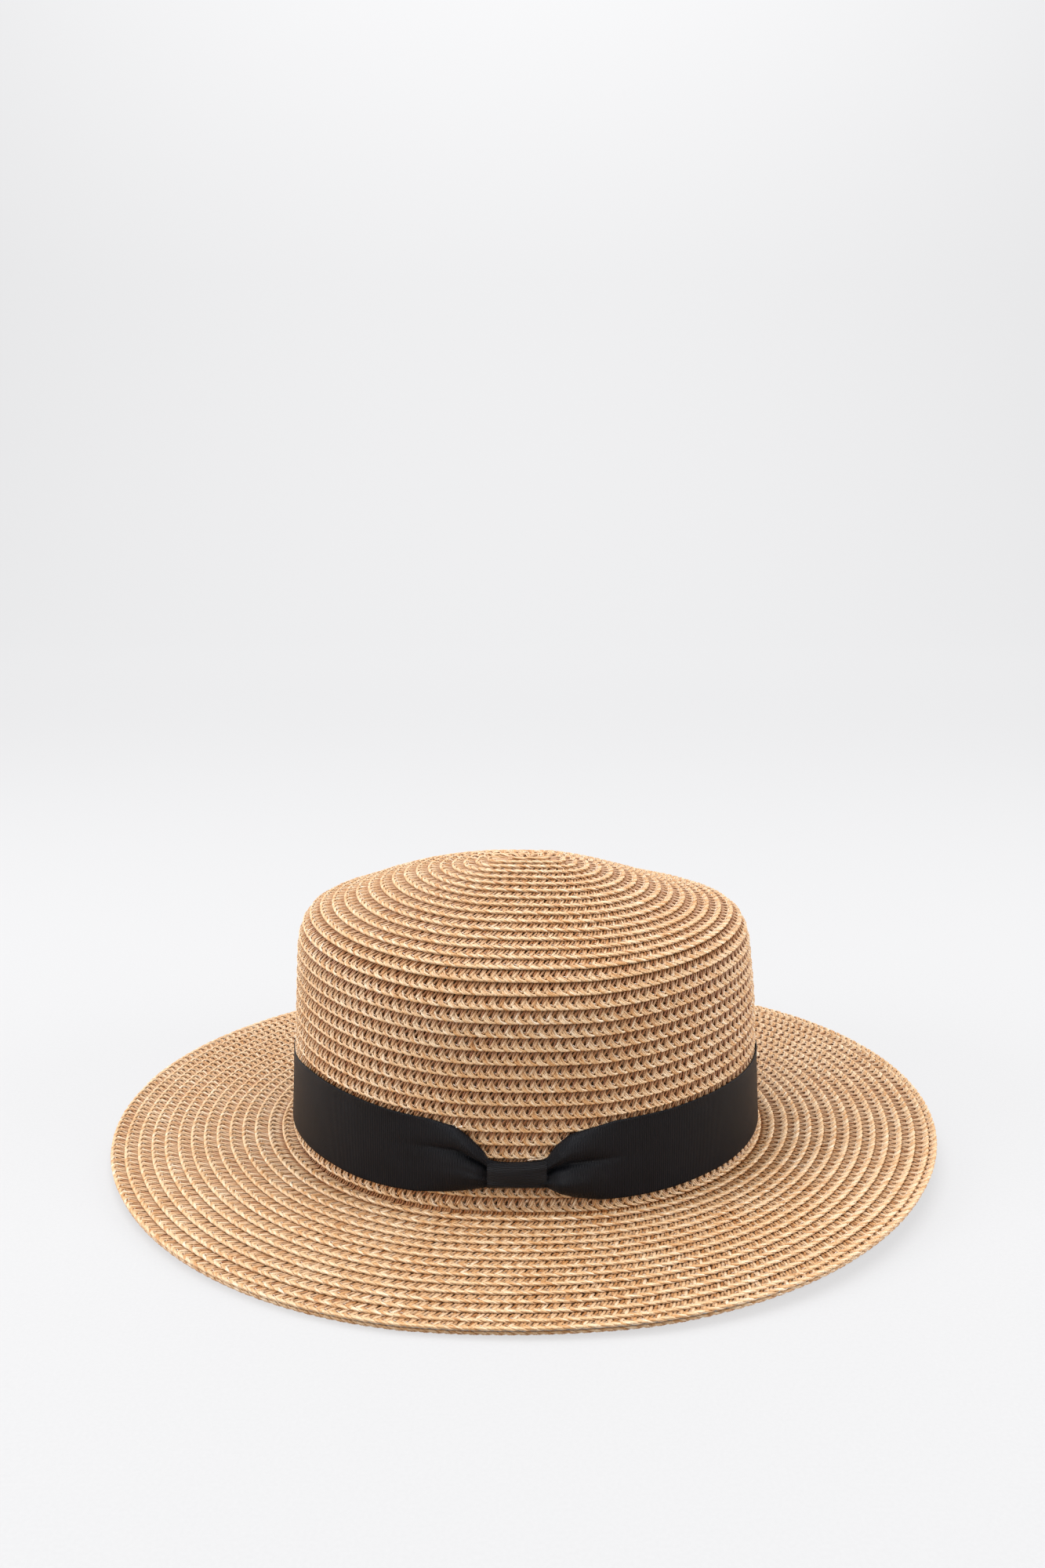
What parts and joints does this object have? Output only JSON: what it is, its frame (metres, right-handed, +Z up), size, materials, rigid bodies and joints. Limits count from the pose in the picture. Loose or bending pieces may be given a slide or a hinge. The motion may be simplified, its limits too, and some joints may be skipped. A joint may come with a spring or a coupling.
{
  "type": "straw sun hat",
  "caption": "Boater-style sun hat of sewn straw braid: shallow domed oval crown, flat wide brim with a wired edge, and a dark ribbon gathered into a pinched bow.",
  "frame": {"origin": "middle of the brim's outline, on the plane the hat rests on", "axes": "+Z up through the crown, +X along the long axis of the head oval, -Y towards the bow"},
  "size_m": [0.3408, 0.3188, 0.1173],
  "materials": {
    "straw": "woven paper straw, satin highlights",
    "wire": "drawn",
    "sleeve": "crimped",
    "thread": "smooth thread",
    "ribbon": "ribbed grosgrain, soft sheen",
    "clear_nylon": "clear",
    "tape": "ribbed tape",
    "label": "satin, blank"
  },
  "bodies": {
    "hat": {"crown_tip": "straw", "crown_side": "straw", "brim": "straw", "brim_edge_row": "straw", "edge_wire": "wire", "wire_sleeve": "sleeve", "seam_thread": "thread", "hat_band": "ribbon", "bow_knot": "ribbon", "band_tacks": "clear_nylon", "sweatband": "tape", "sweatband_stitching": "thread"},
    "label": {"care_label": "label"}
  },
  "joints": [
    {"name": "label_turn", "type": "hinge", "parent": "hat", "child": "label", "pos_m": [0.09317, 0, 0.0068], "axis": [0, 0, 1], "range_deg": [0, 150]}
  ]
}
